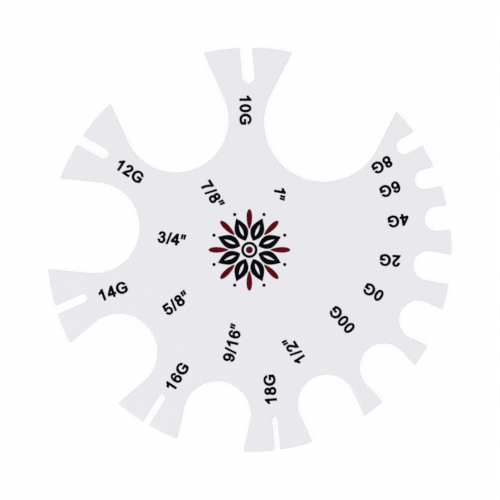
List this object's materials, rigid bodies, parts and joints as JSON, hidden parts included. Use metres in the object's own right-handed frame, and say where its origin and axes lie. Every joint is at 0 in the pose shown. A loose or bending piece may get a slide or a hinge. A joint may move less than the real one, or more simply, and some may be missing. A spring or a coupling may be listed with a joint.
{
  "type": "piercing gauge wheel",
  "caption": "Flat round plastic gauge wheel for body jewellery: round-ended notches of rising width open through its rim, each the width of one jewellery size.",
  "frame": {"origin": "centre of the rim circle on the plain underside", "axes": "+Z out of the printed face, +Y towards the top of the wheel as pictured (the 10G notch points along it), +X to the right (the notches from 8G to 2G lie around it)"},
  "size_m": [0.0848, 0.085, 0.0015],
  "materials": {
    "sheet_plastic": "smooth satin sheet, white with a faint cool lavender cast"
  },
  "bodies": {
    "root": {"gauge_wheel": "sheet_plastic"}
  },
  "joints": []
}
